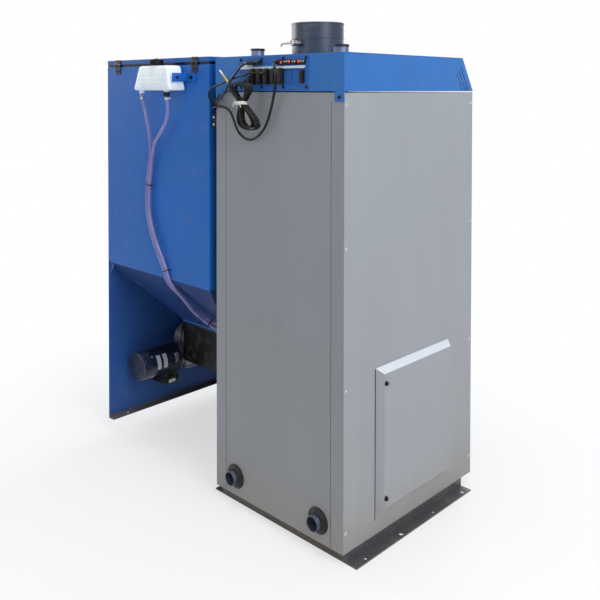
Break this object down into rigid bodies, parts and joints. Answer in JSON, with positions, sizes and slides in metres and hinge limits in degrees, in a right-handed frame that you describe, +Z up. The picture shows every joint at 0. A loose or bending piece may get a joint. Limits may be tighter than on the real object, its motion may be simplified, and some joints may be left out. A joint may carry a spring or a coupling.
{
  "type": "pellet boiler",
  "caption": "Floor-standing pellet boiler with side hopper, screw feeder and worm gearmotor, hinged doors, ash drawer, flue damper and a fire-protection water tank.",
  "frame": {"origin": "on the floor, below the middle of the object without its cables and hoses", "axes": "+Z up, the doors and the ash drawer face -Y, the hopper is on the +X side"},
  "size_m": [1.17, 0.76, 1.459],
  "materials": {
    "base_steel": "hammered dark primer",
    "body_steel": "matt black welded steel",
    "wool": "mineral wool",
    "grey_panel": "fine textured powder coat, satin",
    "white_screw": "painted screw heads",
    "black_screw": "blackened steel",
    "blue_panel": "powder coat, satin",
    "blue_hopper": "powder coat, satin",
    "black_plastic": "moulded, fine grain",
    "window": "clear display window",
    "red_plastic": "translucent red",
    "flue_steel": "blue grey heat-proof paint",
    "bare_steel": "turned steel",
    "zinc": "bright zinc",
    "blue_door": "powder coat, satin",
    "lining": "pressed insulating board",
    "burner_steel": "heat-tinted steel",
    "black_paint": "satin black paint",
    "cast_aluminium": "cast, lightly blasted",
    "bronze": "machined bronze",
    "motor_paint": "dark blue gloss paint",
    "rubber_seal": "closed-cell seal",
    "tank_plastic": "milky translucent",
    "brass_valve": "machined brass",
    "cable_rubber": "black sheath",
    "yellow_sleeve": "yellow sensor sleeve",
    "hose_plastic": "tinted clear hose"
  },
  "bodies": {
    "casing": {"base_frame": "base_steel", "boiler_body": "body_steel", "insulation_jacket": "wool", "side_panel_left": "grey_panel", "side_panel_right": "grey_panel", "back_panel": "grey_panel", "front_panel": "grey_panel", "panel_screws": "white_screw", "cap_screws": "black_screw", "burner_hatch_cover": "grey_panel", "top_hood": "blue_panel", "controller_panel": "black_plastic", "display_window": "window", "socket_plate": "blue_panel", "socket_strip": "black_plastic", "indicator_lamps": "red_plastic", "flue_collar": "flue_steel", "water_sockets": "zinc", "pipe_rosettes": "black_plastic", "door_hinges": "bare_steel", "burner": "burner_steel", "blower_housing": "black_paint", "hopper_body": "blue_hopper", "hopper_skirt": "blue_hopper", "hopper_brackets": "black_paint", "lid_seal": "rubber_seal", "lid_hinge_base": "black_paint", "feeder_box": "black_paint", "gearbox_housing": "cast_aluminium", "motor_body": "motor_paint", "motor_box": "black_plastic", "water_tank": "tank_plastic", "tank_bracket": "blue_hopper", "fire_valve": "brass_valve", "cable_fittings": "black_plastic", "power_cable": "cable_rubber", "cable_loom": "cable_rubber", "sensor_cable": "cable_rubber", "sensor_tip": "yellow_sleeve", "motor_cable": "cable_rubber", "hose_left": "hose_plastic", "hose_right": "hose_plastic"},
    "upper_door": {"upper_door": "blue_door", "upper_door_lining": "lining"},
    "upper_handle": {"upper_door_handle": "black_plastic"},
    "lower_door": {"lower_door": "blue_door", "lower_door_lining": "lining"},
    "lower_handle": {"lower_door_handle": "black_plastic"},
    "ash_drawer": {"ash_drawer": "body_steel"},
    "damper": {"damper_flap": "bare_steel", "damper_lever": "zinc"},
    "knob": {"controller_knob": "black_plastic"},
    "rocker": {"main_switch": "red_plastic"},
    "lid": {"hopper_lid": "blue_hopper", "lid_hinge_leaf": "black_paint"},
    "cap": {"tank_cap": "black_plastic"},
    "screw": {"feed_screw": "bare_steel", "worm_wheel": "bronze"},
    "rotor": {"motor_rotor": "bare_steel"},
    "impeller": {"blower_impeller": "zinc"}
  },
  "joints": [
    {"name": "upper_door_hinge", "type": "hinge", "parent": "casing", "child": "upper_door", "pos_m": [-0.493, -0.318, 0.909], "axis": [0, 0, -1], "range_deg": [0, 120]},
    {"name": "upper_handle_turn", "type": "hinge", "parent": "upper_door", "child": "upper_handle", "pos_m": [-0.139, -0.318, 0.909], "axis": [0, 1, 0], "range_deg": [0, 90]},
    {"name": "lower_door_hinge", "type": "hinge", "parent": "casing", "child": "lower_door", "pos_m": [-0.493, -0.318, 0.364], "axis": [0, 0, -1], "range_deg": [0, 120]},
    {"name": "lower_handle_turn", "type": "hinge", "parent": "lower_door", "child": "lower_handle", "pos_m": [-0.139, -0.318, 0.364], "axis": [0, 1, 0], "range_deg": [0, 90]},
    {"name": "ash_drawer_slide", "type": "slide", "parent": "casing", "child": "ash_drawer", "axis": [0, -1, 0], "range_m": [0, 0.35]},
    {"name": "damper_turn", "type": "hinge", "parent": "casing", "child": "damper", "pos_m": [-0.295, 0.13, 1.397], "axis": [0, -1, 0], "range_deg": [0, 90]},
    {"name": "controller_knob_turn", "type": "hinge", "parent": "casing", "child": "knob", "pos_m": [-0.219, -0.28, 1.3085], "axis": [0, -0.864, 0.5034], "continuous": true},
    {"name": "main_switch_rock", "type": "hinge", "parent": "casing", "child": "rocker", "pos_m": [-0.389, -0.27914, 1.308], "axis": [1, 0, 0], "range_deg": [0, 20]},
    {"name": "lid_hinge", "type": "hinge", "parent": "casing", "child": "lid", "pos_m": [0.2925, 0.315, 1.349], "axis": [-1, 0, 0], "range_deg": [0, 75]},
    {"name": "tank_cap_turn", "type": "hinge", "parent": "casing", "child": "cap", "pos_m": [0.214, 0.3565, 1.354], "axis": [0, 0, 1], "continuous": true},
    {"name": "feed_screw_spin", "type": "hinge", "parent": "casing", "child": "screw", "pos_m": [0.185, 0, 0.296], "axis": [1, 0, 0], "continuous": true},
    {"name": "motor_spin", "type": "hinge", "parent": "casing", "child": "rotor", "pos_m": [0.5005, 0, 0.246], "axis": [0, 1, 0], "continuous": true},
    {"name": "blower_spin", "type": "hinge", "parent": "casing", "child": "impeller", "pos_m": [0.065, 0, 0.172], "axis": [0, 1, 0], "continuous": true}
  ],
  "couplings": [
    {"joint": "motor_spin", "follows": "feed_screw_spin", "ratio": -40}
  ]
}
